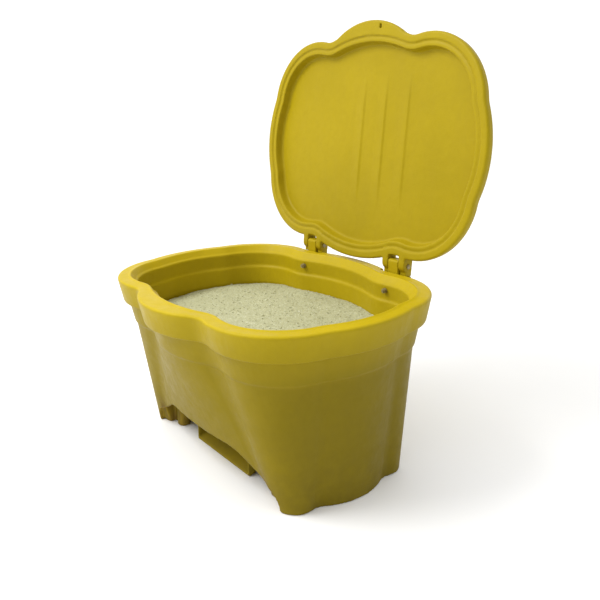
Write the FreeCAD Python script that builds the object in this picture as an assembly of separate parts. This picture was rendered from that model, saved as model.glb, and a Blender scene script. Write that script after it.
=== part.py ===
import FreeCAD, Part
import math
import os

os.makedirs("parts", exist_ok=True)
V = FreeCAD.Vector

# ---------------------------------------------------------------------------
# Grit bin, about 1 m wide, single-wall rotational mouldings, lid standing open.
# Millimetres.  +X is the bin's right seen from the front, the front faces -Y,
# +Z is up, the floor is z = 0.  Everything is drawn on the bin's own centre
# line, from a level 6 mm above the floor, and moved by -YC and 6 mm at the end,
# so that the box of the open bin is centred and stands on z = 0.
# ---------------------------------------------------------------------------
YC = 41.98             # middle of the open bin's depth on the bin's centre line

BASE_Z = -6.0          # the floor, from the level the bin is drawn from

# plan of the rim: eight lobes (side, corner, back, front) joined by hollow arcs
HALF_W = 500.0         # half width over the side lobes
R_SIDE = 371.0         # side lobe radius
CORNER = (253.0, 117.5)
R_CORNER = 221.0       # corner lobe radius
BACK_Y = 372.0         # back lobe, furthest point
R_BACK = 494.0
FRONT_Y = 366.0        # plain front lobe (lid panel, bead, inner wall)
R_FRONT = 494.0
SHELF_Y = 387.0        # front lobe widened to a shelf and grip
R_SHELF = 265.0
BODY_FRONT_Y = 378.0   # front lobe of the walls under the shelf
R_BODY_FRONT = 340.0
R_NOTCH = 70.0         # hollow arc between two lobes

# plan of the foot line
F_HALF_W = 411.0
FR_SIDE = 194.0
F_CORNER = (323.8, 150.0)
FR_CORNER = 57.2
F_MID_Y = 215.0
FR_MID = 2500.0
FR_NOTCH = 50.0

# heights of the tub
RIM_Z = 505.0
SKIRT_Z = 430.0        # lower edge of the hanging rim skirt
TIER_Z = 362.0         # lower edge of the second tier
BODY_Z = 356.0
BAND_Z = 508.0         # raised band round the mouth
FLOOR_TOP = 146.0      # container floor
FLOOR_T = 7.0
WALL = 8.0
SKIRT_T = 7.0
SKIRT_IN = 15.0        # how far the skirt leans in
TIER_OFF = (-29.8, -30.0, -45.6)   # second tier: at its top, at the skirt's edge, at its own lower edge
TIER_TOP = 437.0
BODY_OFF = -51.0
TOP_T = 8.0
BACK_SLOPE_Y = 70.0    # where the floor starts to rise to the back
BACK_SLOPE = math.radians(29.0)

# outlet
SLOT_HALF_W = 134.0
SLOT_Y0, SLOT_Y1 = 0.0, 70.0
CHUTE_T = 5.0
CHUTE_HALF_W = 142.0   # outside of the chute's side walls
LIP_Y = -175.0
CHUTE_BACK_Y = 84.0
R_SCREW = 3.0
ARCH_TOP = 119.0

# legs
LEG_X, LEG_Y = 298.0, -112.0
LEG_LOBE = (262.0, -158.0)
LEG_LOBE_R = 21.0
LEG_T = 7.0
LEG_SET = 14.0         # the legs' front stands this far behind the arch's face

# lid
LID_Z = 506.2          # closed lid's land
LID_TOP = 545.0
LID_PANEL_Z = 538.0    # underside of the panel
LID_IN = -4.5          # lid outline against the rim outline
LID_BACK_Y = 371.0     # the lid's back lobe is drawn a little shorter
GRIP_GROW = 3.3        # the grip stands out over the shelf by this much
GRIP_T = 24.0
OPEN_ANGLE = 97.9      # how far the lid stands open in the stored pose

# hinges
HINGE_X = 195.0
AXIS_Y, AXIS_Z = 356.5, 526.3
TONGUE_HALF = 20.0
TONGUE_Y0, TONGUE_Y1 = 338.0, 374.0
TONGUE_TOP = 543.0
CHEEK_IN, CHEEK_OUT = 22.0, 46.0
CHEEK_R = 19.5         # cheeks' lower ends, round about the axis
CHEEK_END = 386.0      # end of the lid's cheeks, lid closed
SLOT_END = 329.0       # end of the lid's slot for the tongue, lid closed
STOP_GAP = 0.4         # left between cheek and stop ledge with the lid open
R_PIN = 4.0
PIN_CLEAR = 0.06
PAD_Y = 333.0          # flat seat of the brackets in the back notches
BOLT_DX = 33.0
BOLT_Z = 467.0
R_BOLT = 4.0

# filling
FILL_TOP = 391.0
FILL_R = 4500.0
FILL_GAP = 1.0


# ---------------------------------------------------------------------------
# outlines
# ---------------------------------------------------------------------------
def lobes(half_w, r_side, corner, r_corner, back_y, r_back, front_y, r_front, off):
    """The eight lobe circles, anticlockwise from the right-hand side."""
    cx, cy = corner
    return [(half_w - r_side, 0.0, r_side + off),
            (cx, cy, r_corner + off),
            (0.0, back_y - r_back, r_back + off),
            (-cx, cy, r_corner + off),
            (-(half_w - r_side), 0.0, r_side + off),
            (-cx, -cy, r_corner + off),
            (0.0, -(front_y - r_front), r_front + off),
            (cx, -cy, r_corner + off)]


def lobe_wire(circles, rf, z):
    n = len(circles)
    joins = []
    for i in range(n):
        x1, y1, r1 = circles[i]
        x2, y2, r2 = circles[(i + 1) % n]
        a, b = r1 + rf, r2 + rf
        dx, dy = x2 - x1, y2 - y1
        d = math.hypot(dx, dy)
        u = (a * a - b * b + d * d) / (2 * d)
        h = math.sqrt(max(a * a - u * u, 0.0))
        fx = x1 + u * dx / d + h * dy / d
        fy = y1 + u * dy / d - h * dx / d
        t1 = (x1 + (fx - x1) * r1 / a, y1 + (fy - y1) * r1 / a)
        t2 = (x2 + (fx - x2) * r2 / b, y2 + (fy - y2) * r2 / b)
        joins.append((t1, t2, (fx, fy)))
    edges = []
    for i in range(n):
        cx, cy, r = circles[i]
        start = joins[i - 1][1]
        end = joins[i][0]
        a0 = math.atan2(start[1] - cy, start[0] - cx)
        a1 = math.atan2(end[1] - cy, end[0] - cx)
        while a1 < a0:
            a1 += 2 * math.pi
        am = (a0 + a1) / 2
        mid = (cx + r * math.cos(am), cy + r * math.sin(am))
        edges.append(Part.Arc(V(start[0], start[1], z), V(mid[0], mid[1], z), V(end[0], end[1], z)).toShape())
        t1, t2, f = joins[i]
        mx, my = (t1[0] + t2[0]) / 2 - f[0], (t1[1] + t2[1]) / 2 - f[1]
        k = rf / math.hypot(mx, my)
        edges.append(Part.Arc(V(t1[0], t1[1], z), V(f[0] + mx * k, f[1] + my * k, z), V(t2[0], t2[1], z)).toShape())
    return Part.Wire(edges)


def plain(off, z):
    return lobe_wire(lobes(HALF_W, R_SIDE, CORNER, R_CORNER, BACK_Y, R_BACK, FRONT_Y, R_FRONT, off), R_NOTCH - off, z)


def shelf(off, z, grow=0.0):
    return lobe_wire(lobes(HALF_W, R_SIDE, CORNER, R_CORNER, BACK_Y, R_BACK, SHELF_Y + grow, R_SHELF + grow, off), R_NOTCH - off, z)


def body(off, z):
    return lobe_wire(lobes(HALF_W, R_SIDE, CORNER, R_CORNER, BACK_Y, R_BACK, BODY_FRONT_Y, R_BODY_FRONT, off), R_NOTCH - off, z)


def lidplan(off, z):
    return lobe_wire(lobes(HALF_W, R_SIDE, CORNER, R_CORNER, LID_BACK_Y, R_BACK, FRONT_Y, R_FRONT, off), R_NOTCH - off, z)


def foot(off, z):
    return lobe_wire(lobes(F_HALF_W, FR_SIDE, F_CORNER, FR_CORNER, F_MID_Y, FR_MID, F_MID_Y, FR_MID, off), FR_NOTCH - off, z)


def loft(*wires):
    s = Part.makeLoft(list(wires), True, True)
    if s.Volume < 0:
        s.reverse()
    return s


def box(x0, x1, y0, y1, z0, z1):
    return Part.makeBox(x1 - x0, y1 - y0, z1 - z0, V(x0, y0, z0))


def prism_x(points, x0, x1):
    """Closed outline in the YZ plane, pushed along X."""
    pts = [V(x0, y, z) for y, z in points]
    return Part.Face(Part.makePolygon(pts + [pts[0]])).extrude(V(x1 - x0, 0, 0))


def rod_x(x0, x1, y, z, r):
    return Part.makeCylinder(r, x1 - x0, V(x0, y, z), V(1, 0, 0))


def rod_y(y0, y1, x, z, r):
    return Part.makeCylinder(r, y1 - y0, V(x, y0, z), V(0, 1, 0))


def one(shape):
    """The single solid of a result."""
    shape = shape.removeSplitter()
    sol = sorted(shape.Solids, key=lambda s: -s.Volume)
    return sol[0]


NODES = {}


# ---------------------------------------------------------------------------
# tub
# ---------------------------------------------------------------------------
def make_tub():
    edge = loft(shelf(-6, RIM_Z), shelf(-1.8, RIM_Z - 1.8), shelf(0, RIM_Z - 6))
    flange = loft(shelf(0, RIM_Z - 6), shelf(-SKIRT_IN, SKIRT_Z))
    # under the rim the wall is one skin; the second tier under it is a double wall
    neck = loft(plain(-33, RIM_Z - TOP_T / 2), plain(-46.5, 482), plain(-50, 474), plain(-51, TIER_TOP - 2))
    tier = loft(body(TIER_OFF[0], TIER_TOP), body(TIER_OFF[1], SKIRT_Z), body(TIER_OFF[2], TIER_Z), body(BODY_OFF, BODY_Z))
    wall = loft(body(BODY_OFF, BODY_Z), foot(0, BASE_Z))
    # hollow of the hanging skirt, open below
    skirt_in = loft(shelf(-SKIRT_T, RIM_Z - TOP_T), shelf(-SKIRT_IN - SKIRT_T, SKIRT_Z - 1))
    rim = edge.fuse(flange).cut(skirt_in)
    outer = rim.fuse([neck, tier, wall])
    # raised band round the mouth
    band = loft(plain(-35.5, RIM_Z - 1), plain(-36, RIM_Z), plain(-37.5, BAND_Z))
    outer = outer.fuse(band)

    # inside of the container: rounded edge, first ledge, undercut, second ledge, plain wall
    mouth = loft(plain(-40.5, BAND_Z + 1), plain(-41.3, BAND_Z - 0.8), plain(-43, BAND_Z - 3), plain(-56, 487.5), plain(-62, 485),
                 plain(-62.5, 481), plain(-59, LEDGE_Z))
    ledge = loft(plain(-59, LEDGE_Z), body(INNER[0][0], INNER[0][1]))
    upper = loft(*[body(o, z) for o, z in INNER])
    inner = loft(body(*INNER[-1]), foot(-WALL, BASE_Z))
    # container floor: flat at the front, rising to the back, with the outlet slot
    top = [(-400, FLOOR_TOP), (BACK_SLOPE_Y, FLOOR_TOP),
           (330, FLOOR_TOP + (330 - BACK_SLOPE_Y) * math.tan(BACK_SLOPE))]
    slab = prism_x(top + [(330, top[2][1] - FLOOR_T / math.cos(BACK_SLOPE)),
                          (BACK_SLOPE_Y + FLOOR_T * math.tan(BACK_SLOPE / 2), FLOOR_TOP - FLOOR_T),
                          (-400, FLOOR_TOP - FLOOR_T)], -520, 520)
    slab = slab.cut(box(-SLOT_HALF_W, SLOT_HALF_W, SLOT_Y0, SLOT_Y1, 100, 200))
    above = prism_x([(-400, FLOOR_TOP), (BACK_SLOPE_Y, FLOOR_TOP), (330, top[2][1]), (330, 700), (-400, 700)], -520, 520)
    below = prism_x([(-400, FLOOR_TOP - FLOOR_T), (BACK_SLOPE_Y + FLOOR_T * math.tan(BACK_SLOPE / 2), FLOOR_TOP - FLOOR_T),
                     (330, top[2][1] - FLOOR_T / math.cos(BACK_SLOPE)), (330, -25), (-400, -25)], -520, 520)
    hollow = inner.common(above).fuse(inner.common(below))
    slot = box(-SLOT_HALF_W, SLOT_HALF_W, SLOT_Y0, SLOT_Y1, 100, 200)
    tub = outer.cut(mouth).cut(ledge).cut(upper).cut(hollow).cut(slot)

    # legs at the front corners: closed round by an inner wall with two lobes, open below
    core = None
    for s in (1, -1):
        c = leg_post(s, 0.0).common(leg_body(-LEG_SET)).fuse(leg_lobe(s, 0.0).common(leg_body(-1.0)))
        beside = leg_post(s, 0.0).common(leg_body(-WALL + 0.5)).common(mirror_x(s, box(LEG_X - 5, 520, -400, 0, BASE_Z - 5, 400)))
        hollow = leg_post(s, -LEG_T).common(leg_body(-LEG_SET - LEG_T))
        hollow = hollow.fuse(leg_lobe(s, -LEG_T).common(leg_body(-1.0 - LEG_T)))
        hollow = hollow.fuse(leg_post(s, -LEG_T).common(leg_body(-WALL)).common(mirror_x(s, box(LEG_X + 45, 520, -400, 0, BASE_Z - 5, 400))))
        hollow = hollow.common(box(-520, 520, -400, 0, BASE_Z - 5, FLOOR_TOP - FLOOR_T))
        tub = tub.fuse(c.fuse(beside).cut(hollow))
        core = c if core is None else core.fuse(c)

    # arch in the front wall; the legs stand a little behind it
    right = [(130, ARCH_TOP), (165, 115), (190, 107), (215, 94), (240, 79), (262, 67), (285, 58), (308, 48), (324, 34), (331, 14), (333, BASE_Z - 3)]
    c = Part.BSplineCurve()
    c.interpolate([V(x, -420, z) for x, z in right])
    cl = Part.BSplineCurve()
    cl.interpolate([V(-x, -420, z) for x, z in right])
    e = [Part.makeLine(V(-130, -420, ARCH_TOP), V(130, -420, ARCH_TOP)), c.toShape(),
         Part.makeLine(V(333, -420, BASE_Z - 3), V(-333, -420, BASE_Z - 3)), cl.toShape()]
    arch = Part.Face(Part.Wire(Part.__sortEdges__(e))).extrude(V(0, 420 - 150, 0))
    tub = tub.cut(arch.cut(core))

    # flat pads for the hinge brackets in the two back notches
    for s in (1, -1):
        xc = s * HINGE_X
        pocket = box(xc - 50, xc + 50, PAD_Y, 430, SKIRT_Z - 5, RIM_Z + 5)
        pad = prism_x([(PAD_Y - 18, SKIRT_Z + 3), (PAD_Y - 4, SKIRT_Z + 3), (PAD_Y, SKIRT_Z + 7), (PAD_Y, RIM_Z - 4), (PAD_Y - 18, RIM_Z - 4)],
                      xc - 53, xc + 53)
        xb = xc + BOLT_DX
        boss = rod_y(289, PAD_Y - 10, xb, BOLT_Z, 13.0)
        tub = tub.cut(pocket).fuse([pad, boss])
        tub = tub.cut(rod_y(200, 420, xb, BOLT_Z, R_BOLT + 0.25))
    # pilot holes for the chute's screws
    for x, y in chute_screw_places():
        tub = tub.cut(Part.makeCylinder(R_SCREW + 0.05, FLOOR_T + 1.6, V(x, y, FLOOR_TOP - FLOOR_T - 2)))
    return one(tub)


def mirror_x(s, shape):
    return shape if s > 0 else shape.mirror(V(0, 0, 0), V(1, 0, 0))


def post(x0, y1, r):
    """Upright block from x0 outward and from y1 forward, its inner upright edge rounded."""
    b = box(x0, 480, -300, y1, BASE_Z - 2, FLOOR_TOP - FLOOR_T / 2)
    return b.makeFillet(r, [e for e in b.Edges if e.BoundBox.ZLength > 50 and abs(e.BoundBox.XMin - x0) < 1e-6 and abs(e.BoundBox.YMax - y1) < 1e-6])


def leg_post(s, off):
    """A leg's corner block in plan, moved in by -off, as an upright block."""
    return mirror_x(s, post(LEG_X - off, LEG_Y + off, 24.0 + off))


def leg_lobe(s, off):
    """The small lobe beside a leg, with the web that joins it, moved in by -off."""
    z0, z1 = BASE_Z - 2, FLOOR_TOP - FLOOR_T / 2
    lobe = Part.makeCylinder(LEG_LOBE_R + off, z1 - z0, V(LEG_LOBE[0], LEG_LOBE[1], z0))
    web = box(LEG_LOBE[0], LEG_X + 22, LEG_LOBE[1] - 12 - off, LEG_LOBE[1] + LEG_LOBE_R + off, z0, z1)
    return mirror_x(s, lobe.fuse(web))


def leg_body(off):
    """Space inside the tub's outer wall, below the step, moved by off."""
    return loft(body(BODY_OFF + off, BODY_Z), foot(off, BASE_Z))


LEDGE_Z = 438.0
INNER = [(-65.0, 433.0), (-66.0, 380.0), (-59.0, 352.0)]   # container wall under the second ledge


# ---------------------------------------------------------------------------
# chute under the outlet slot
# ---------------------------------------------------------------------------
def chute_floor(y):
    """Top of the chute's floor."""
    y1 = CHUTE_BACK_Y - CHUTE_T
    z1 = FLOOR_TOP - FLOOR_T - 12
    z0 = BASE_Z + CHUTE_T + 1.0
    return z0 + (y - LIP_Y) * (z1 - z0) / (y1 - LIP_Y)


def make_chute():
    top = FLOOR_TOP - FLOOR_T
    y1 = CHUTE_BACK_Y
    zf = chute_floor(y1)
    b = BASE_Z + 1.0
    plate = prism_x([(LIP_Y, b), (LIP_Y, b + CHUTE_T), (y1 - CHUTE_T, chute_floor(y1 - CHUTE_T)), (y1 - CHUTE_T, top),
                     (y1, top), (y1, zf - CHUTE_T - 1), (LIP_Y + 12, b)],
                    -CHUTE_HALF_W, CHUTE_HALF_W)
    sides = None
    for s in (1, -1):
        x0, x1 = sorted((s * (CHUTE_HALF_W - CHUTE_T), s * CHUTE_HALF_W))
        w = prism_x([(LIP_Y, b), (LIP_Y, 46), (LIP_Y + 10, 62), (LIP_Y + 22, top), (y1, top), (y1, zf - CHUTE_T - 1), (LIP_Y + 12, b)], x0, x1)
        fx0, fx1 = sorted((s * (CHUTE_HALF_W - CHUTE_T), s * (CHUTE_HALF_W + 26)))
        f = box(fx0, fx1, LIP_Y + 40, y1, top - CHUTE_T, top)
        sides = w.fuse(f) if sides is None else sides.fuse([w, f])
    back = box(-CHUTE_HALF_W, CHUTE_HALF_W, y1 - CHUTE_T, y1 + 22, top - CHUTE_T, top)
    ch = plate.fuse([sides, back])
    for x, y in chute_screw_places():
        ch = ch.cut(Part.makeCylinder(R_SCREW + 0.2, 30, V(x, y, top - 20)))
    return one(ch)


def chute_screw_places():
    return [(s * (CHUTE_HALF_W + 14), y) for s in (1, -1) for y in (LIP_Y + 60, 0.0, 66.0)]


def make_chute_screws():
    """Round-head screws from below into the container floor."""
    top = FLOOR_TOP - FLOOR_T
    out = []
    for x, y in chute_screw_places():
        head = Part.makeCylinder(5.5, 2.6, V(x, y, top - CHUTE_T - 2.6))
        head = head.makeFillet(1.6, [e for e in head.Edges if abs(e.BoundBox.ZMax - (top - CHUTE_T - 2.6)) < 1e-6 and e.BoundBox.ZLength < 1e-6])
        shank = Part.makeCylinder(R_SCREW, CHUTE_T + FLOOR_T - 1.0, V(x, y, top - CHUTE_T))
        cross = box(x - 3, x + 3, y - 0.6, y + 0.6, top - CHUTE_T - 2.7, top - CHUTE_T - 1.3)
        cross2 = box(x - 0.6, x + 0.6, y - 3, y + 3, top - CHUTE_T - 2.7, top - CHUTE_T - 1.3)
        out.append(head.fuse(shank).cut(cross).cut(cross2).Solids[0])
    return out


# ---------------------------------------------------------------------------
# lid, drawn closed and turned open at the end
# ---------------------------------------------------------------------------
RIBS = (-42.0, 55.0, 152.0)


def rib(xc, w, y0, y1, z0, z1):
    """Long bar with round ends and sloped flanks."""
    def track(hw, z):
        a = V(xc - hw, y0 + hw, z)
        b = V(xc - hw, y1 - hw, z)
        c = V(xc + hw, y1 - hw, z)
        d = V(xc + hw, y0 + hw, z)
        e = [Part.makeLine(a, b), Part.Arc(b, V(xc, y1, z), c).toShape(), Part.makeLine(c, d),
             Part.Arc(d, V(xc, y0, z), a).toShape()]
        return Part.Wire(e)
    return Part.makeLoft([track(w / 2 if z0 < z1 else w / 2, z0), track(w / 2 - 5, z1)], True, True)


def make_lid():
    i = LID_IN
    shell = loft(lidplan(i - 5, LID_Z), lidplan(i - 1.5, LID_Z + 2.5), lidplan(i, LID_Z + 9), lidplan(i - 3, LID_TOP - 14),
                 lidplan(i - 9, LID_TOP - 5), lidplan(i - 20, LID_TOP))
    g = GRIP_GROW
    grip = loft(shelf(i - 5, LID_Z, g), shelf(i - 1.5, LID_Z + 2.5, g), shelf(i, LID_Z + 9, g), shelf(i - 2, LID_Z + GRIP_T - 5, g),
                shelf(i - 7, LID_Z + GRIP_T, g))
    grip = grip.common(box(-240, 240, -500, -250, 400, 700))
    lid = shell.fuse(grip)
    recess = loft(lidplan(-46.5, LID_Z - 1), lidplan(-53, LID_PANEL_Z - 4), lidplan(-58, LID_PANEL_Z))
    lid = lid.cut(recess)
    # inside its land the underside is raised over the rim's band, with a groove along the land
    lid = lid.cut(loft(lidplan(-28, LID_Z - 1), lidplan(-28, LID_Z + 3.3)))
    groove = loft(lidplan(-28, LID_Z + 2), lidplan(-29.5, LID_Z + 5.3)).cut(loft(lidplan(-38.5, LID_Z + 1), lidplan(-36.8, LID_Z + 6.5)))
    lid = lid.cut(groove)
    # the single-wall panel: bars below, matching channels on top
    for x in RIBS:
        lid = lid.fuse(rib(x, 46, -235, 205, LID_PANEL_Z + 1, LID_PANEL_Z - 4))
        lid = lid.cut(rib(x, 36, -230, 200, LID_TOP + 1, LID_TOP - 4))
    # padlock slot in the grip
    lid = lid.cut(box(46, 54, -371, -355, 400, 700))
    # hinge cheeks each side of a slot for the tongue
    for s in (1, -1):
        xc = s * HINGE_X
        for a, b in ((-CHEEK_OUT, -CHEEK_IN), (CHEEK_IN, CHEEK_OUT)):
            arm = prism_x([(308, LID_Z + 4), (314, LID_Z + 4), (317, LID_Z), (AXIS_Y - 7, LID_Z), (AXIS_Y, AXIS_Z - CHEEK_R), (AXIS_Y, LID_TOP - 1), (316, LID_TOP - 1), (308, LID_TOP - 6)],
                          xc + a, xc + b)
            nose = rod_x(xc + a, xc + b, AXIS_Y, AXIS_Z, CHEEK_R).fuse(box(xc + a, xc + b, AXIS_Y, CHEEK_END, AXIS_Z - 8, LID_TOP - 1))
            nose = nose.common(box(xc + a, xc + b, AXIS_Y - 1, CHEEK_END, LID_Z, LID_TOP - 1))
            edge = [e for e in nose.Edges if e.BoundBox.XLength > 20 and e.BoundBox.YMin > CHEEK_END - 0.1 and e.BoundBox.ZMin > LID_TOP - 1.1]
            nose = nose.makeChamfer(1.5, edge)
            arm = arm.fuse(nose)
            lid = lid.fuse(arm)
        lid = lid.cut(box(xc - CHEEK_IN, xc + CHEEK_IN, SLOT_END, 450, 480, 600))
        lid = lid.cut(rod_x(xc - 60, xc + 60, AXIS_Y, AXIS_Z, R_PIN))
    return one(lid)


def turn(y, z, deg):
    """Where a lid point goes when the lid opens by deg."""
    a = -math.radians(deg)
    dy, dz = y - AXIS_Y, z - AXIS_Z
    return AXIS_Y + dy * math.cos(a) - dz * math.sin(a), AXIS_Z + dy * math.sin(a) + dz * math.cos(a)


def make_bracket(s):
    """Hinge block: foot in the rim's pocket, tongue with the pin bore, ledge that stops the open lid."""
    xc = s * HINGE_X
    foot_top = RIM_Z - 6.0
    f = box(xc - 47, xc + 47, PAD_Y, PAD_Y + 8.6, 440, foot_top)
    f = f.makeFillet(5.0, [e for e in f.Edges if abs(e.BoundBox.YLength - 8.6) < 1e-6])
    tongue = prism_x([(PAD_Y, 448), (PAD_Y + 12, 448), (TONGUE_Y1, 494), (TONGUE_Y1, TONGUE_TOP),
                      (TONGUE_Y0, TONGUE_TOP), (TONGUE_Y0, foot_top + 1), (PAD_Y, foot_top - 4)],
                     xc - TONGUE_HALF, xc + TONGUE_HALF)
    tongue = tongue.makeFillet(8.0, [e for e in tongue.Edges if e.BoundBox.XLength > 30 and e.BoundBox.ZMin > TONGUE_TOP - 1e-3])
    b = f.fuse(tongue)
    p = [turn(CHEEK_END + STOP_GAP, 536.5, OPEN_ANGLE), turn(CHEEK_END + STOP_GAP, LID_TOP - 2, OPEN_ANGLE)]
    for x0, x1 in ((xc - CHEEK_OUT, xc - TONGUE_HALF + 1), (xc + TONGUE_HALF - 1, xc + CHEEK_OUT)):
        ledge = prism_x([(PAD_Y + 8, 477), (PAD_Y + 8, 486), (350, 491.5), p[0], p[1], (p[1][0] + 1, 484)], x0, x1)
        b = b.fuse(ledge)
    b = b.cut(rod_x(xc - 60, xc + 60, AXIS_Y, AXIS_Z, R_PIN + PIN_CLEAR))
    b = b.cut(rod_y(300, 420, xc + BOLT_DX, BOLT_Z, R_BOLT + 0.25))
    return one(b)


def make_pin(s):
    xc = s * HINGE_X
    shank = rod_x(xc - CHEEK_OUT - 6, xc + CHEEK_OUT, AXIS_Y, AXIS_Z, R_PIN)
    head = rod_x(xc + CHEEK_OUT, xc + CHEEK_OUT + 3, AXIS_Y, AXIS_Z, 7.5)
    head = head.makeFillet(1.5, [e for e in head.Edges if e.BoundBox.XLength < 1e-6 and abs(e.BoundBox.XMax - (xc + CHEEK_OUT + 3)) < 1e-6])
    return one(shank.fuse(head))


def make_cap(s):
    xc = s * HINGE_X
    x1 = xc - CHEEK_OUT
    cap = rod_x(x1 - 4, x1, AXIS_Y, AXIS_Z, 8.0)
    cap = cap.makeFillet(1.2, [e for e in cap.Edges if e.BoundBox.XLength < 1e-6 and abs(e.BoundBox.XMax - (x1 - 4)) < 1e-6])
    return cap.cut(rod_x(x1 - 10, x1 + 1, AXIS_Y, AXIS_Z, R_PIN)).Solids[0]


def hexagon(x, z, y0, y1, af):
    r = af / math.sqrt(3)
    pts = [V(x + r * math.cos(math.radians(60 * k + 30)), y0, z + r * math.sin(math.radians(60 * k + 30))) for k in range(6)]
    return Part.Face(Part.makePolygon(pts + [pts[0]])).extrude(V(0, y1 - y0, 0))


NUT_Y = {}


def make_bolt(s, inner_y):
    x = s * HINGE_X + BOLT_DX
    y1 = PAD_Y + 8.6 + 1.6
    head = hexagon(x, BOLT_Z, y1, y1 + 5.3, 13.0)
    shank = rod_y(inner_y - 1.6 - 6.5 - 3.0, y1, x, BOLT_Z, R_BOLT)
    return one(head.fuse(shank))


# ---------------------------------------------------------------------------
# filling
# ---------------------------------------------------------------------------
def make_fill():
    g = FILL_GAP
    upper = loft(*[body(o - g, z) for o, z in INNER])
    lower = loft(body(INNER[-1][0] - g, INNER[-1][1]), foot(-WALL - g, BASE_Z))
    zt = FLOOR_TOP + (330 - BACK_SLOPE_Y) * math.tan(BACK_SLOPE)
    above = prism_x([(-400, FLOOR_TOP + g), (BACK_SLOPE_Y, FLOOR_TOP + g), (330, zt + g), (330, 700), (-400, 700)], -520, 520)
    ball = Part.makeSphere(FILL_R, V(0, 0, FILL_TOP - FILL_R))
    ball = ball.common(box(-520, 520, -420, 420, 100, 460))
    fill = upper.fuse(lower).common(above).common(ball)
    # what has run down on to the chute
    y_toe = -66.0
    slope = math.tan(math.radians(44.0))
    y1 = CHUTE_BACK_Y - CHUTE_T - g
    tongue = prism_x([(SLOT_Y0 + g, FLOOR_TOP + g + 2), (SLOT_Y0 + g, FLOOR_TOP - FLOOR_T - g), (SLOT_Y0 - 4, FLOOR_TOP - FLOOR_T - g),
                      (y_toe, chute_floor(y_toe) + g), (y1, chute_floor(y1) + g), (y1, FLOOR_TOP - FLOOR_T - g), (SLOT_Y1 - g, FLOOR_TOP - FLOOR_T - g), (SLOT_Y1 - g, FLOOR_TOP + g + 2)],
                     -SLOT_HALF_W + g, SLOT_HALF_W - g)
    return one(fill.fuse(tongue))


# ---------------------------------------------------------------------------
def place(shape, opened=False):
    shape = shape.copy()
    if opened:
        shape.rotate(V(0, AXIS_Y, AXIS_Z), V(1, 0, 0), -OPEN_ANGLE)
    shape.translate(V(0, -YC, -BASE_Z))
    return shape


def keep(name, shapes):
    if not isinstance(shapes, list):
        shapes = [shapes]
    out = shapes[0] if len(shapes) == 1 else Part.makeCompound(shapes)
    out.exportStep("parts/%s.step" % name)
    NODES[name] = out
    bb = out.optimalBoundingBox(False)
    print("%-24s solids %d valid %s volume %.1f cm3 box %.1f %.1f %.1f .. %.1f %.1f %.1f" % (
        name, len(out.Solids), out.isValid(), out.Volume / 1000.0, bb.XMin, bb.YMin, bb.ZMin, bb.XMax, bb.YMax, bb.ZMax))


tub = make_tub()
fill = make_fill()
keep("tub", place(tub))
keep("grit_fill", place(fill))
chute = make_chute()
keep("outlet_chute", place(chute))
keep("chute_screws", [place(s) for s in make_chute_screws()])
keep("lid", place(make_lid(), True))

bolts, outer_washers, inner_washers, nuts = [], [], [], []
for side, name in ((-1, "left"), (1, "right")):
    keep("hinge_bracket_" + name, place(make_bracket(side)))
    keep("hinge_pin_" + name, place(make_pin(side), True))
    xb = side * HINGE_X + BOLT_DX
    # the inner wall where the bolt comes through
    probe = box(xb - 8.2, xb + 8.2, 150, 330, BOLT_Z - 8.2, BOLT_Z + 8.2).common(tub)
    inner_y = probe.BoundBox.YMin - 0.05
    bolts.append(place(make_bolt(side, inner_y)))
    y1 = PAD_Y + 8.6
    outer_washers.append(place(rod_y(y1, y1 + 1.6, xb, BOLT_Z, 8.0).cut(rod_y(y1 - 1, y1 + 3, xb, BOLT_Z, R_BOLT + 0.2)).Solids[0]))
    inner_washers.append(place(rod_y(inner_y - 1.6, inner_y, xb, BOLT_Z, 8.0).cut(rod_y(inner_y - 3, inner_y + 1, xb, BOLT_Z, R_BOLT + 0.2)).Solids[0]))
    nuts.append(place(hexagon(xb, BOLT_Z, inner_y - 1.6 - 6.5, inner_y - 1.6, 13.0).cut(rod_y(inner_y - 20, inner_y + 1, xb, BOLT_Z, R_BOLT)).Solids[0]))
keep("pin_caps", [place(make_cap(-1), True), place(make_cap(1), True)])
keep("bracket_bolts", bolts)
keep("bracket_washers", outer_washers + inner_washers)
keep("bracket_nuts", nuts)

whole = Part.makeCompound(list(NODES.values()))
bb = whole.optimalBoundingBox(False)
print("whole box", bb.XMin, bb.YMin, bb.ZMin, bb.XMax, bb.YMax, bb.ZMax, "centre y", (bb.YMin + bb.YMax) / 2)
print("hinge axis m", 0.0, (AXIS_Y - YC) / 1000.0, (AXIS_Z - BASE_Z) / 1000.0)
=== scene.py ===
import bpy
import math
import random
import time

import numpy as np
from mathutils import Matrix, Vector, noise


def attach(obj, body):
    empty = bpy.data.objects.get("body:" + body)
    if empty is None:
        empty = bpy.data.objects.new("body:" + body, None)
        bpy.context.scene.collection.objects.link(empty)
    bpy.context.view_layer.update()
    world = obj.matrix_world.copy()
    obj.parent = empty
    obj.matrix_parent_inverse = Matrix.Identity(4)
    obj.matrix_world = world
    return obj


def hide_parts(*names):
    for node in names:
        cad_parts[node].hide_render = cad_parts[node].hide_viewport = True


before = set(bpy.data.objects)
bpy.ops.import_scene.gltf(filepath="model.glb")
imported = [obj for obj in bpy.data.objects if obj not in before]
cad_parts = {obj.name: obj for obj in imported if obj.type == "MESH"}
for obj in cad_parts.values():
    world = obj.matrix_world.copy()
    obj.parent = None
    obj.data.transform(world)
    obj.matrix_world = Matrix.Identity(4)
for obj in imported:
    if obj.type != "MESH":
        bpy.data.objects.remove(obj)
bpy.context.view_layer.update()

YC = 0.04198          # the bin's own centre line lies this far behind the frame's origin line
RAISE = 0.006         # and its own level this far above the floor
HINGE_AXIS = (0.31452, 0.5323)
OPEN_ANGLE = 97.9
RIBS = (-0.042, 0.055, 0.152)


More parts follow.
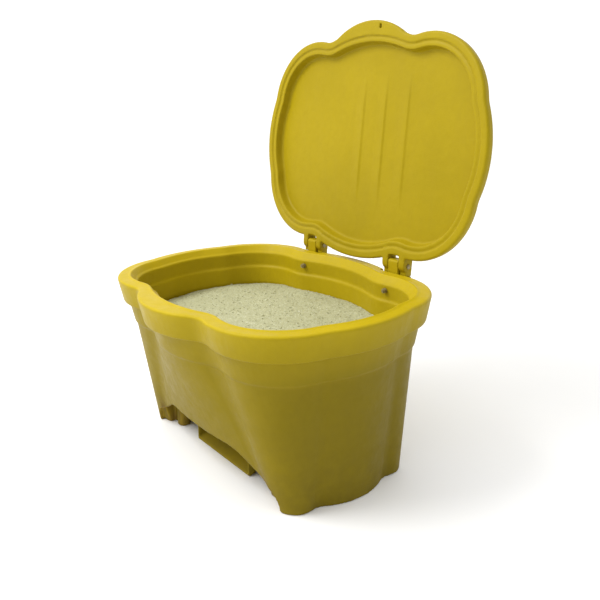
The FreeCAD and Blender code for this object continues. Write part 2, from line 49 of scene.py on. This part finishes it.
# ---------------------------------------------------------------------------
# node helpers
# ---------------------------------------------------------------------------
class Nodes:
    """Small helper to build a node tree for one material."""

    def __init__(self, name):
        self.mat = bpy.data.materials.new(name)
        self.mat.use_nodes = True
        self.t = self.mat.node_tree
        self.t.nodes.clear()
        self.out = self.t.nodes.new("ShaderNodeOutputMaterial")
        self.bsdf = self.t.nodes.new("ShaderNodeBsdfPrincipled")
        self.t.links.new(self.bsdf.outputs["BSDF"], self.out.inputs["Surface"])
        tc = self.t.nodes.new("ShaderNodeTexCoord")
        self.co = tc.outputs["Object"]

    def new(self, kind, **kw):
        n = self.t.nodes.new(kind)
        for k, v in kw.items():
            setattr(n, k, v)
        return n

    def link(self, a, b):
        self.t.links.new(a, b)

    def mapping(self, scale=(1, 1, 1), rot=(0, 0, 0), loc=(0, 0, 0)):
        m = self.new("ShaderNodeMapping")
        m.inputs["Scale"].default_value = scale
        m.inputs["Rotation"].default_value = rot
        m.inputs["Location"].default_value = loc
        self.link(self.co, m.inputs["Vector"])
        return m.outputs["Vector"]

    def noise(self, scale, detail=2.0, rough=0.5, vec=None, distortion=0.0):
        n = self.new("ShaderNodeTexNoise")
        n.inputs["Scale"].default_value = scale
        n.inputs["Detail"].default_value = detail
        n.inputs["Roughness"].default_value = rough
        n.inputs["Distortion"].default_value = distortion
        self.link(vec or self.co, n.inputs["Vector"])
        return n.outputs["Fac"]

    def voronoi(self, scale, feature="F1", out="Distance", vec=None, rnd=1.0):
        n = self.new("ShaderNodeTexVoronoi", feature=feature)
        n.inputs["Scale"].default_value = scale
        n.inputs["Randomness"].default_value = rnd
        self.link(vec or self.co, n.inputs["Vector"])
        return n.outputs[out]

    def ramp(self, fac, stops, interp="LINEAR"):
        n = self.new("ShaderNodeValToRGB")
        n.color_ramp.interpolation = interp
        els = n.color_ramp.elements
        while len(els) < len(stops):
            els.new(0.5)
        for e, (p, c) in zip(els, stops):
            e.position = p
            e.color = c if len(c) == 4 else (*c, 1.0)
        self.link(fac, n.inputs["Fac"])
        return n.outputs["Color"]

    def rng(self, fac, a, b, c, d):
        n = self.new("ShaderNodeMapRange")
        n.clamp = True
        for i, v in zip((1, 2, 3, 4), (a, b, c, d)):
            n.inputs[i].default_value = v
        self.link(fac, n.inputs[0])
        return n.outputs[0]

    def math(self, op, a, b=None):
        n = self.new("ShaderNodeMath", operation=op)
        for i, v in enumerate((a, b)):
            if v is None:
                continue
            if isinstance(v, (int, float)):
                n.inputs[i].default_value = v
            else:
                self.link(v, n.inputs[i])
        return n.outputs[0]

    def mix(self, fac, a, b, blend="MIX"):
        n = self.new("ShaderNodeMix", data_type="RGBA", blend_type=blend)
        for key, v in (("Factor", fac), ("A", a), ("B", b)):
            sock = [s for s in n.inputs if s.name == key and (key == "Factor" and s.type == "VALUE" or s.type == "RGBA")][0]
            if isinstance(v, (int, float)):
                sock.default_value = v
            elif isinstance(v, tuple):
                sock.default_value = (*v, 1.0) if len(v) == 3 else v
            else:
                self.link(v, sock)
        return [s for s in n.outputs if s.type == "RGBA"][0]

    def bump(self, height, distance, strength=1.0, normal=None):
        n = self.new("ShaderNodeBump")
        n.inputs["Strength"].default_value = strength
        n.inputs["Distance"].default_value = distance
        self.link(height, n.inputs["Height"])
        if normal is not None:
            self.link(normal, n.inputs["Normal"])
        return n.outputs["Normal"]

    def height_z(self):
        s = self.new("ShaderNodeSeparateXYZ")
        self.link(self.co, s.inputs[0])
        return s.outputs["Z"]

    def pointy(self):
        return self.new("ShaderNodeNewGeometry").outputs["Pointiness"]

    def put(self, key, value):
        s = self.bsdf.inputs[key]
        if isinstance(value, (int, float, tuple)):
            s.default_value = value
        else:
            self.link(value, s)


def srgb(r, g, b):
    def f(v):
        v /= 255.0
        return v / 12.92 if v <= 0.04045 else ((v + 0.055) / 1.055) ** 2.4
    return (f(r), f(g), f(b))


def shade(c, k):
    return tuple(min(1.0, v * k) for v in c)


# ---------------------------------------------------------------------------
# materials
# ---------------------------------------------------------------------------
YELLOW = (0.402, 0.298, 0.0040)


def roto_plastic(name, base, dirt_top=0.16, dirt=0.45, grain=1.0, scuff=0.35, rough=0.46, seed=0.0, edges=True, painted_shade_level=1.0):
    """Rotational-moulded polyethylene: cloudy colour, orange-peel grain, pin marks, scuffs, grime low down, pale edge
    wear with painted highlight, painted shade in creases; optionally painted shade on the outside below the rim, on
    the right side and on the leg insides, with a painted highlight on the rim top.
    """
    n = Nodes(name)
    shift = (seed * 3.1, seed * 1.7, seed * 0.9)
    v = n.mapping(loc=shift)
    cloud = n.noise(3.2, 4.0, 0.55, v)
    col = n.ramp(cloud, [(0.30, shade(base, 0.92)), (0.52, base), (0.74, shade((base[0] * 1.02, base[1] * 1.02, base[2] * 1.3), 1.03))])
    # powder mottling of the moulding
    mott = n.noise(46.0, 3.0, 0.6, v)
    col = n.mix(n.rng(mott, 0.42, 0.66, 0.0, 0.22), col, shade(base, 0.84))
    # pin-head pits
    pit = n.voronoi(150.0, vec=v)
    pits = n.rng(pit, 0.05, 0.13, 1.0, 0.0)
    rare = n.rng(n.noise(17.0, 1.0, 0.5, v), 0.56, 0.66, 0.0, 1.0)
    pits = n.math("MULTIPLY", pits, rare)
    col = n.mix(n.math("MULTIPLY", pits, 0.5), col, shade(base, 0.5))
    # scuffs: long thin strokes in two directions
    sc = None
    for k, (scale, rot) in enumerate((((5.0, 5.0, 95.0), (0.2, 0.3, 0.0)), ((80.0, 80.0, 6.0), (0.0, 0.15, 0.4)))):
        m = n.mapping(scale=scale, rot=rot, loc=(seed + k, 0.3 * k, 0.0))
        s = n.rng(n.noise(1.0, 5.0, 0.62, m), 0.655, 0.70, 0.0, 1.0)
        sc = s if sc is None else n.math("MAXIMUM", sc, s)
    where = n.rng(n.noise(5.0, 2.0, 0.5, v), 0.46, 0.62, 0.0, 1.0)
    sc = n.math("MULTIPLY", sc, where)
    col = n.mix(n.math("MULTIPLY", sc, scuff), col, shade((base[0] * 1.03, base[1] * 1.05, base[2] * 4.0), 1.08))
    # grime, thickest near the ground and fading upwards
    z = n.height_z()
    low = n.rng(z, 0.0, dirt_top, 1.0, 0.0)
    low = n.math("POWER", low, 1.6)
    patch = n.rng(n.noise(11.0, 5.0, 0.65, v), 0.35, 0.68, 0.25, 1.0)
    g = n.math("MULTIPLY", n.math("MULTIPLY", low, patch), dirt)
    col = n.mix(g, col, srgb(86, 74, 44))
    if painted_shade_level < 1.0:
        # brown silt stain and painted shade on the inner sides of the legs, low down
        gi = n.new("ShaderNodeNewGeometry")
        ins = n.new("ShaderNodeVectorMath", operation="DOT_PRODUCT")
        mid = n.new("ShaderNodeVectorMath", operation="MULTIPLY_ADD")
        n.link(n.co, mid.inputs[0])
        mid.inputs[1].default_value = (1.0, 1.0, 0.0)
        mid.inputs[2].default_value = (0.0, YC, 0.0)
        n.link(mid.outputs["Vector"], ins.inputs[0])
        n.link(gi.outputs["Normal"], ins.inputs[1])
        silt_and_shade = n.math("MULTIPLY", n.rng(ins.outputs["Value"], 0.12, 0.24, 1.0, 0.0), n.rng(z, 0.06, 0.14, 1.0, 0.0))
        silt_and_shade = n.math("MULTIPLY", silt_and_shade, n.rng(n.noise(14.0, 4.0, 0.6, v), 0.35, 0.60, 0.25, 0.75))
        col = n.mix(silt_and_shade, col, srgb(112, 78, 42))
    # runs and dust film
    film = n.mapping(scale=(26.0, 26.0, 1.6), loc=shift)
    runs = n.rng(n.noise(1.0, 3.0, 0.55, film), 0.52, 0.74, 0.0, 0.06)
    col = n.mix(runs, col, srgb(150, 126, 48))
    if painted_shade_level < 1.0:
        # painted shade: the outside below the rim darker, deepest low down and lightening towards the rim
        painted_shade_and_highlight = n.ramp(n.rng(z, 0.0, 0.53, 0.0, 1.0), [(0.0, (painted_shade_level + 0.04,) * 3), (0.45, (painted_shade_level,) * 3), (0.66, (painted_shade_level + 0.04,) * 3),
                                                      (0.83, (0.80,) * 3), (0.93, (0.92,) * 3), (1.0, (1.0,) * 3)])
        g0 = n.new("ShaderNodeNewGeometry")
        dot = n.new("ShaderNodeVectorMath", operation="DOT_PRODUCT")
        flat = n.new("ShaderNodeVectorMath", operation="MULTIPLY_ADD")
        n.link(n.co, flat.inputs[0])
        flat.inputs[1].default_value = (1.0, 1.0, 0.0)
        flat.inputs[2].default_value = (0.0, YC, 0.0)
        n.link(flat.outputs["Vector"], dot.inputs[0])
        n.link(g0.outputs["Normal"], dot.inputs[1])
        outside = n.rng(dot.outputs["Value"], 0.0, 0.12, 0.0, 1.0)
        side = n.new("ShaderNodeSeparateXYZ")
        n.link(g0.outputs["Normal"], side.inputs[0])
        # painted highlight: upward-facing surfaces at the rim top kept out of the painted shade and made lighter
        rim_top_highlight = n.math("MULTIPLY", n.rng(side.outputs["Z"], 0.15, 0.7, 0.0, 1.0), n.rng(z, 0.485, 0.50, 0.0, 1.0))
        painted_shade_and_highlight = n.mix(n.math("SUBTRACT", outside, rim_top_highlight), (1.0, 1.0, 1.0), painted_shade_and_highlight)
        painted_shade_and_highlight = n.mix(n.math("MULTIPLY", rim_top_highlight, 0.5), painted_shade_and_highlight, (1.3, 1.3, 1.3))
        # painted shade on the side facing +X, below the tier
        right_side_shade = n.math("MULTIPLY", n.rng(side.outputs["X"], 0.35, 0.95, 0.0, 0.16), n.rng(z, 0.34, 0.46, 1.0, 0.0))
        painted_shade_and_highlight = n.mix(right_side_shade, painted_shade_and_highlight, (0.0, 0.0, 0.0))
        sep = n.new("ShaderNodeSeparateColor")
        n.link(painted_shade_and_highlight, sep.inputs[0])
        painted_shade_and_highlight = sep.outputs[0]
        k = n.new("ShaderNodeCombineColor")
        for i in range(3):
            n.link(painted_shade_and_highlight, k.inputs[i])
        col = n.mix(1.0, col, k.outputs[0], "MULTIPLY")
    if edges:
        p = n.pointy()
        # pale edge wear with a painted highlight on convex edges
        edge_wear_highlight = n.math("MULTIPLY", n.rng(p, 0.515, 0.60, 0.0, 1.0), n.rng(n.noise(38.0, 3.0, 0.6, v), 0.38, 0.62, 0.2, 1.0))
        col = n.mix(n.math("MULTIPLY", edge_wear_highlight, 0.16), col, shade((base[0] * 1.04, base[1] * 1.05, base[2] * 2.4), 1.08))
        # painted shade in concave creases and hollows
        crease_shade = n.rng(p, 0.40, 0.487, 1.0, 0.0)
        col = n.mix(n.math("MULTIPLY", crease_shade, 0.55), col, srgb(96, 80, 30))
    n.put("Base Color", col)
    r = n.rng(n.noise(28.0, 4.0, 0.6, v), 0.3, 0.7, rough - 0.07, rough + 0.09)
    r = n.math("ADD", r, n.math("MULTIPLY", sc, 0.12))
    r = n.math("ADD", r, n.math("MULTIPLY", g, 0.35))
    n.put("Roughness", r)
    n.put("Specular IOR Level", 0.11)
    peel = n.noise(330.0, 2.0, 0.5, v)
    wav = n.noise(36.0, 2.0, 0.5, v)
    b = n.bump(wav, 0.0016 * grain, 0.55)
    b = n.bump(peel, 0.00045 * grain, 0.7, b)
    b = n.bump(pits, -0.0006, 0.6, b)
    b = n.bump(sc, -0.0002, min(0.5, scuff), b)
    n.put("Normal", b)
    return n.mat


def zinc(name):
    n = Nodes(name)
    c = n.voronoi(160.0, out="Color")
    s = n.new("ShaderNodeSeparateColor")
    n.link(c, s.inputs[0])
    col = n.ramp(s.outputs[0], [(0.0, (0.22, 0.18, 0.08)), (0.5, (0.30, 0.25, 0.12)), (1.0, (0.40, 0.34, 0.18))])
    dull = n.rng(n.noise(90.0, 4.0, 0.6), 0.45, 0.7, 0.0, 0.6)
    col = n.mix(dull, col, (0.20, 0.15, 0.05))
    n.put("Base Color", col)
    n.put("Metallic", 0.35)
    n.put("Roughness", n.rng(n.noise(120.0, 3.0, 0.6), 0.3, 0.7, 0.45, 0.65))
    n.put("Normal", n.bump(n.noise(700.0, 2.0, 0.5), 0.0001, 0.5))
    return n.mat


def grit_material(name, loose=False):
    """Rock salt and grit: pale beige, grey, brown and dark grains."""
    n = Nodes(name)
    cell = n.voronoi(420.0 if not loose else 160.0, out="Color")
    s = n.new("ShaderNodeSeparateColor")
    n.link(cell, s.inputs[0])
    col = n.ramp(s.outputs[0], [(0.0, srgb(146, 144, 110)), (0.06, srgb(160, 159, 123)), (0.35, srgb(166, 166, 129)), (0.70, srgb(173, 173, 136)),
                                (0.94, srgb(183, 184, 150)), (1.0, srgb(203, 203, 182))])
    damp = n.rng(n.noise(7.0, 4.0, 0.6), 0.42, 0.66, 0.0, 0.4)
    col = n.mix(damp, col, srgb(156, 155, 116))
    dark = n.voronoi(70.0)
    spot = n.math("MULTIPLY", n.rng(dark, 0.09, 0.17, 1.0, 0.0), n.rng(n.noise(9.0, 1.0), 0.60, 0.66, 0.0, 1.0))
    col = n.mix(n.math("MULTIPLY", spot, 0.7), col, srgb(86, 78, 58))
    n.put("Base Color", col)
    n.put("Roughness", n.rng(s.outputs[1], 0.0, 1.0, 0.7, 0.95))
    d = n.voronoi(300.0 if not loose else 260.0)
    b = n.bump(d, -0.0011, 0.6)
    b = n.bump(n.noise(120.0, 4.0, 0.65), 0.0018, 0.5, b)
    n.put("Normal", b)
    return n.mat


MAT = {
    # the tub's colour carries painted shade below the rim, on the right side and on the leg insides, and a painted
    # highlight on the rim top
    "tub": roto_plastic("tub_polyethylene", YELLOW, dirt_top=0.30, dirt=0.42, seed=0.0, scuff=0.16, painted_shade_level=0.56),
    "lid": roto_plastic("lid_polyethylene", shade(YELLOW, 0.88), dirt_top=0.01, dirt=0.0, seed=2.0, scuff=0.25),
    "hinge": roto_plastic("hinge_polyethylene", shade(YELLOW, 0.98), dirt_top=0.01, dirt=0.0, seed=4.0, grain=0.6, scuff=0.2, rough=0.42, edges=False),
    "chute": roto_plastic("chute_polyethylene", shade(YELLOW, 0.72), dirt_top=0.20, dirt=0.45, seed=6.0, grain=0.7, scuff=0.7, rough=0.52, edges=False),
    "zinc": zinc("zinc_plated_steel"),
    "grit": grit_material("salt_grit"),
    "grains": grit_material("salt_grit_grains", loose=True),
}


def give(obj, mat):
    me = obj.data
    if len(me.materials) == 0:
        me.materials.append(mat)
    for s in obj.material_slots:
        s.link = "DATA"
        s.material = mat


# ---------------------------------------------------------------------------
# plan outline of the container, for the grit's surface
# ---------------------------------------------------------------------------
def lobe_line(off, n=40):
    """The tub wall's outline under the second tier, moved by off, as points."""
    hw, rs, corner, rc, by, rb, fy, rf = 0.500, 0.371, (0.253, 0.1175), 0.221, 0.372, 0.494, 0.378, 0.340
    cx, cy = corner
    c = [(hw - rs, 0, rs + off), (cx, cy, rc + off), (0, by - rb, rb + off), (-cx, cy, rc + off), (rs - hw, 0, rs + off),
         (-cx, -cy, rc + off), (0, rf - fy, rf + off), (cx, -cy, rc + off)]
    fr = 0.070 - off
    joins = []
    for i in range(8):
        x1, y1, r1 = c[i]
        x2, y2, r2 = c[(i + 1) % 8]
        a, b = r1 + fr, r2 + fr
        dx, dy = x2 - x1, y2 - y1
        d = math.hypot(dx, dy)
        u = (a * a - b * b + d * d) / (2 * d)
        h = math.sqrt(max(a * a - u * u, 0.0))
        fx, fy_ = x1 + u * dx / d + h * dy / d, y1 + u * dy / d - h * dx / d
        joins.append(((x1 + (fx - x1) * r1 / a, y1 + (fy_ - y1) * r1 / a), (x2 + (fx - x2) * r2 / b, y2 + (fy_ - y2) * r2 / b), (fx, fy_)))
    pts = []
    for i in range(8):
        x, y, r = c[i]
        s, e = joins[i - 1][1], joins[i][0]
        a0, a1 = math.atan2(s[1] - y, s[0] - x), math.atan2(e[1] - y, e[0] - x)
        while a1 < a0:
            a1 += 2 * math.pi
        for t in np.linspace(a0, a1, n):
            pts.append((x + r * math.cos(t), y + r * math.sin(t)))
        t1, t2, f = joins[i]
        b0, b1 = math.atan2(t1[1] - f[1], t1[0] - f[0]), math.atan2(t2[1] - f[1], t2[0] - f[0])
        while b1 > b0:
            b1 -= 2 * math.pi
        for t in np.linspace(b0, b1, n // 2)[1:-1]:
            pts.append((f[0] + fr * math.cos(t), f[1] + fr * math.sin(t)))
    return np.array(pts)


def inside(pts, poly):
    x, y = pts[:, 0], pts[:, 1]
    res = np.zeros(len(pts), bool)
    px, py = poly[:, 0], poly[:, 1]
    j = len(poly) - 1
    for i in range(len(poly)):
        cross = ((py[i] > y) != (py[j] > y))
        with np.errstate(divide="ignore", invalid="ignore"):
            xi = (px[j] - px[i]) * (y - py[i]) / (py[j] - py[i]) + px[i]
        res ^= cross & (x < xi)
        j = i
    return res


def nearest(p, poly):
    a = poly
    b = np.roll(poly, -1, axis=0)
    ab = b - a
    t = np.clip(((p - a) * ab).sum(1) / ((ab ** 2).sum(1) + 1e-12), 0, 1)
    c = a + t[:, None] * ab
    d = ((p - c) ** 2).sum(1)
    return c[d.argmin()]


# ---------------------------------------------------------------------------
# pieces made here
# ---------------------------------------------------------------------------
def mesh_object(name, verts, faces, smooth=True):
    me = bpy.data.meshes.new(name)
    me.from_pydata([tuple(v) for v in verts], [], [tuple(f) for f in faces])
    me.validate()
    me.update()
    if smooth:
        me.polygons.foreach_set("use_smooth", [True] * len(me.polygons))
    o = bpy.data.objects.new(name, me)
    bpy.context.scene.collection.objects.link(o)
    return o


def softened(node, name, voxel, rounds, factor=0.5, keep=None):
    """The node's own shape with every edge rounded off, the way a rotational moulding leaves its mould."""
    t0 = time.time()
    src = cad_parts[node]
    me = src.data.copy()
    o = bpy.data.objects.new(name, me)
    bpy.context.scene.collection.objects.link(o)
    o.matrix_world = src.matrix_world.copy()
    w = o.modifiers.new("weld", "WELD")
    w.merge_threshold = 0.00001
    r = o.modifiers.new("remesh", "REMESH")
    r.mode = "VOXEL"
    r.voxel_size = voxel
    r.use_smooth_shade = True
    s = o.modifiers.new("smooth", "SMOOTH")
    s.factor = factor
    s.iterations = rounds
    if keep:
        d = o.modifiers.new("thin", "DECIMATE")
        d.ratio = keep
    bpy.context.view_layer.update()
    dg = bpy.context.evaluated_depsgraph_get()
    out = bpy.data.meshes.new_from_object(o.evaluated_get(dg))
    o.modifiers.clear()
    o.data = out
    out.name = name
    out.polygons.foreach_set("use_smooth", [True] * len(out.polygons))
    out.materials.clear()
    print("piece", name, len(out.polygons), round(time.time() - t0, 1))
    return o


def grit_height(x, y):
    """Top of the heap at a point of the bin's own plan."""
    r2 = x * x + y * y
    z = 0.391 + RAISE - r2 / 9.0
    z += 0.0050 * noise.noise(Vector((x * 5.0, y * 5.0, 1.3)))
    z += 0.0030 * noise.noise(Vector((x * 17.0, y * 17.0, 4.1)))
    z += 0.0013 * noise.noise(Vector((x * 70.0, y * 70.0, 7.7)))
    z += 0.0007 * noise.noise(Vector((x * 190.0, y * 190.0, 2.2)))
    return z


def make_crust():
    """Top layer of the grit: a close net of small grains and hollows over the heap."""
    poly = lobe_line(-0.0652)
    step = 0.003
    xs = np.arange(-0.447, 0.4471, step)
    ys = np.arange(-0.330, 0.3201, step)
    X, Y = np.meshgrid(xs, ys, indexing="ij")
    P = np.c_[X.ravel(), Y.ravel()]
    ins = inside(P, poly)
    I = ins.reshape(X.shape)
    nx, ny = X.shape
    cell = I[:-1, :-1] | I[1:, :-1] | I[:-1, 1:] | I[1:, 1:]
    used = np.zeros(X.shape, bool)
    for a in (0, 1):
        for b in (0, 1):
            used[a:nx - 1 + a, b:ny - 1 + b] |= cell
    idx = -np.ones(nx * ny, int)
    ids = np.flatnonzero(used.ravel())
    idx[ids] = np.arange(len(ids))
    verts = []
    for k in ids:
        p = P[k]
        if not ins[k]:
            p = nearest(p, poly)
        verts.append((p[0], p[1] - YC, grit_height(p[0], p[1])))
    g = idx.reshape(nx, ny)
    faces = [(g[i, j], g[i + 1, j], g[i + 1, j + 1], g[i, j + 1]) for i, j in zip(*np.nonzero(cell))]
    # closed below, so the layer is a solid slab
    edges = {}
    for f in faces:
        for a, b in zip(f, f[1:] + f[:1]):
            edges[(a, b)] = True
    rim = {a: b for (a, b) in edges if (b, a) not in edges}
    start = next(iter(rim))
    loop = [start]
    while rim[loop[-1]] != start:
        loop.append(rim[loop[-1]])
    base = len(verts)
    for k in loop:
        verts.append((verts[k][0] * 0.985, (verts[k][1] + YC) * 0.985 - YC, 0.362))
    m = len(loop)
    for i in range(m):
        a, b = loop[i], loop[(i + 1) % m]
        faces.append((b, a, base + i, base + (i + 1) % m))
    faces.append(tuple(base + i for i in range(m - 1, -1, -1)))
    return mesh_object("grit_crust", verts, faces)


def make_grains(count=3600):
    """Single stones and salt crystals lying on the crust."""
    rnd = random.Random(7)
    poly = lobe_line(-0.0700)
    t = (1 + 5 ** 0.5) / 2
    ico = [(-1, t, 0), (1, t, 0), (-1, -t, 0), (1, -t, 0), (0, -1, t), (0, 1, t), (0, -1, -t), (0, 1, -t), (t, 0, -1), (t, 0, 1), (-t, 0, -1), (-t, 0, 1)]
    ico = np.array(ico) / math.sqrt(1 + t * t)
    fc = [(0, 11, 5), (0, 5, 1), (0, 1, 7), (0, 7, 10), (0, 10, 11), (1, 5, 9), (5, 11, 4), (11, 10, 2), (10, 7, 6), (7, 1, 8),
          (3, 9, 4), (3, 4, 2), (3, 2, 6), (3, 6, 8), (3, 8, 9), (4, 9, 5), (2, 4, 11), (6, 2, 10), (8, 6, 7), (9, 8, 1)]
    verts, faces = [], []
    places = np.array([(rnd.uniform(-0.44, 0.44), rnd.uniform(-0.32, 0.31)) for _ in range(2 * count)])
    places = places[inside(places, poly)][:count]
    for x, y in places.tolist():
        r = min(0.0042, 0.0010 * math.exp(rnd.gauss(0.20, 0.42)))
        sx, sy, sz = rnd.uniform(0.75, 1.3), rnd.uniform(0.75, 1.3), rnd.uniform(0.55, 0.95)
        jit = np.array([[rnd.uniform(0.82, 1.15)] for _ in range(12)])
        rot = np.array(Matrix.Rotation(rnd.uniform(0, 6.28), 3, Vector((rnd.gauss(0, 0.4), rnd.gauss(0, 0.4), 1)).normalized()))
        pts = (ico * jit * np.array([sx, sy, sz]) * r) @ rot.T
        z = grit_height(x, y) + r * rnd.uniform(0.05, 0.5)
        base = len(verts)
        verts.extend((p[0] + x, p[1] + y - YC, p[2] + z) for p in pts)
        faces.extend(tuple(base + k for k in f) for f in fc)
    return mesh_object("grit_grains", verts, faces, smooth=False)


tub = softened("tub", "tub_moulding", 0.0030, 4)
give(tub, MAT["tub"])
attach(tub, "bin")
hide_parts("tub")

def soften_ribs(o):
    """Turns the lid's flat bars into shallow wedges that run out softly at both ends."""
    n = len(o.data.vertices)
    co = np.zeros(n * 3)
    o.data.vertices.foreach_get("co", co)
    co = co.reshape(-1, 3)
    a = math.radians(OPEN_ANGLE)
    y0, z0 = HINGE_AXIS
    yc = (co[:, 1] - y0) * math.cos(a) - (co[:, 2] - z0) * math.sin(a) + y0 + YC
    zc = (co[:, 1] - y0) * math.sin(a) + (co[:, 2] - z0) * math.cos(a) + z0 - RAISE
    h = 0.538 - zc
    for xr in RIBS:
        u = co[:, 0] - xr
        sel = (np.abs(u) < 0.0265) & (yc > -0.245) & (yc < 0.215) & (h > 0.0001) & (h < 0.0052)
        t = np.clip((u + 0.023) / 0.040, 0.0, 1.0)
        wedge = t ** 1.3
        e = np.clip((yc + 0.245) / 0.13, 0, 1) * np.clip((0.215 - yc) / 0.13, 0, 1)
        e = e * e * (3 - 2 * e)
        zc[sel] = 0.538 - (h * wedge * e * 0.9)[sel]
    yy, zz = yc - YC - y0, zc + RAISE - z0
    co[:, 1] = yy * math.cos(a) + zz * math.sin(a) + y0
    co[:, 2] = -yy * math.sin(a) + zz * math.cos(a) + z0
    o.data.vertices.foreach_set("co", co.ravel())
    o.data.update()


lid = softened("lid", "lid_moulding", 0.0026, 4)
soften_ribs(lid)
give(lid, MAT["lid"])
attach(lid, "lid_body")
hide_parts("lid")

for side in ("left", "right"):
    b = softened("hinge_bracket_" + side, "hinge_block_" + side, 0.0014, 3)
    give(b, MAT["hinge"])
    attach(b, "bin")
    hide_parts("hinge_bracket_" + side)

chute = softened("outlet_chute", "chute_moulding", 0.0022, 2)
give(chute, MAT["chute"])
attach(chute, "bin")
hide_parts("outlet_chute")

heap = softened("grit_fill", "grit_heap", 0.007, 2)
co = np.zeros(len(heap.data.vertices) * 3)
heap.data.vertices.foreach_get("co", co)
co = co.reshape(-1, 3)
hi = co[:, 2] > 0.354
co[hi, 2] -= 0.012 * np.clip((co[hi, 2] - 0.354) / 0.02, 0, 1)
for i in np.flatnonzero(co[:, 2] < 0.156):
    p = Vector(co[i] * 60.0)
    co[i] += 0.0022 * np.array(noise.noise_vector(p)) * (1.0 if co[i, 2] < 0.145 else 0.0)
heap.data.vertices.foreach_set("co", co.ravel())
heap.data.update()
give(heap, MAT["grit"])
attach(heap, "bin")
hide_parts("grit_fill")

crust = make_crust()
give(crust, MAT["grit"])
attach(crust, "bin")
grains = make_grains()
give(grains, MAT["grains"])
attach(grains, "bin")

for name in ("hinge_pin_left", "hinge_pin_right", "bracket_bolts", "bracket_washers", "bracket_nuts", "chute_screws"):
    give(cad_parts[name], MAT["zinc"])
give(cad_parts["pin_caps"], MAT["hinge"])

# ---------------------------------------------------------------------------
# floor, light, camera
# ---------------------------------------------------------------------------
bpy.context.scene.view_settings.view_transform = "Standard"
fl = mesh_object("floor", [(-14, -14, -0.0006), (14, -14, -0.0006), (14, 14, -0.0006), (-14, 14, -0.0006)], [(0, 1, 2, 3)], smooth=False)
fm = Nodes("pale_floor")
fm.put("Base Color", fm.ramp(fm.noise(1.5, 3.0), [(0.3, (0.90, 0.90, 0.90)), (0.7, (0.93, 0.93, 0.93))]))
fm.put("Roughness", 0.85)
fm.put("Specular IOR Level", 0.2)
give(fl, fm.mat)

world = bpy.context.scene.world or bpy.data.worlds.new("studio")
bpy.context.scene.world = world
world.use_nodes = True
world.node_tree.nodes.clear()
wt = world.node_tree
wo = wt.nodes.new("ShaderNodeOutputWorld")
wb = wt.nodes.new("ShaderNodeBackground")
wc = wt.nodes.new("ShaderNodeTexCoord")
wd = wt.nodes.new("ShaderNodeVectorMath")
wd.operation = "DOT_PRODUCT"
wd.inputs[1].default_value = Vector((-0.55, 0.20, 0.82)).normalized()
wt.links.new(wc.outputs["Generated"], wd.inputs[0])
wr = wt.nodes.new("ShaderNodeMapRange")
wr.inputs[1].default_value = -0.9
wr.inputs[2].default_value = 0.75
wr.inputs[3].default_value = 0.20
wr.inputs[4].default_value = 1.35
wt.links.new(wd.outputs["Value"], wr.inputs[0])
wt.links.new(wr.outputs[0], wb.inputs["Strength"])
wb.inputs["Color"].default_value = (1.0, 1.0, 1.0, 1.0)
wt.links.new(wb.outputs[0], wo.inputs[0])


def area(name, where, at, size, power, color=(1, 1, 1)):
    d = bpy.data.lights.new(name, "AREA")
    d.shape = "DISK"
    d.size = size
    d.energy = power
    d.color = color
    o = bpy.data.objects.new(name, d)
    bpy.context.scene.collection.objects.link(o)
    o.location = where
    o.rotation_mode = "QUATERNION"
    o.rotation_quaternion = (Vector(at) - Vector(where)).to_track_quat("-Z", "Y")
    return o


area("key", (-1.2, -2.4, 3.6), (0.0, 0.3, 0.8), 2.4, 130.0)

# camera: solved on the photograph's outlines
F, CX, CY = 726.89, 258.57, 208.03
AZ, EL, ROLL = math.radians(55.773), math.radians(10.036), -0.03837
POS = Vector((1.7294, -1.1866 - YC, 1.0931 + RAISE))
fwd = Vector((-math.sin(AZ) * math.cos(EL), math.cos(AZ) * math.cos(EL), -math.sin(EL)))
right = fwd.cross(Vector((0, 0, 1))).normalized()
up = right.cross(fwd)
r2 = math.cos(ROLL) * right + math.sin(ROLL) * up
u2 = -math.sin(ROLL) * right + math.cos(ROLL) * up
cam_data = bpy.data.cameras.new("camera")
cam = bpy.data.objects.new("camera", cam_data)
bpy.context.scene.collection.objects.link(cam)
cam_data.sensor_width = 36.0
cam_data.lens = F * 36.0 / 600.0
cam_data.shift_x = (300.0 - CX) / 600.0
cam_data.shift_y = (CY - 300.0) / 600.0
cam_data.clip_start = 0.02
cam.matrix_world = Matrix(((r2.x, u2.x, -fwd.x, POS.x), (r2.y, u2.y, -fwd.y, POS.y), (r2.z, u2.z, -fwd.z, POS.z), (0, 0, 0, 1)))
bpy.context.scene.camera = cam
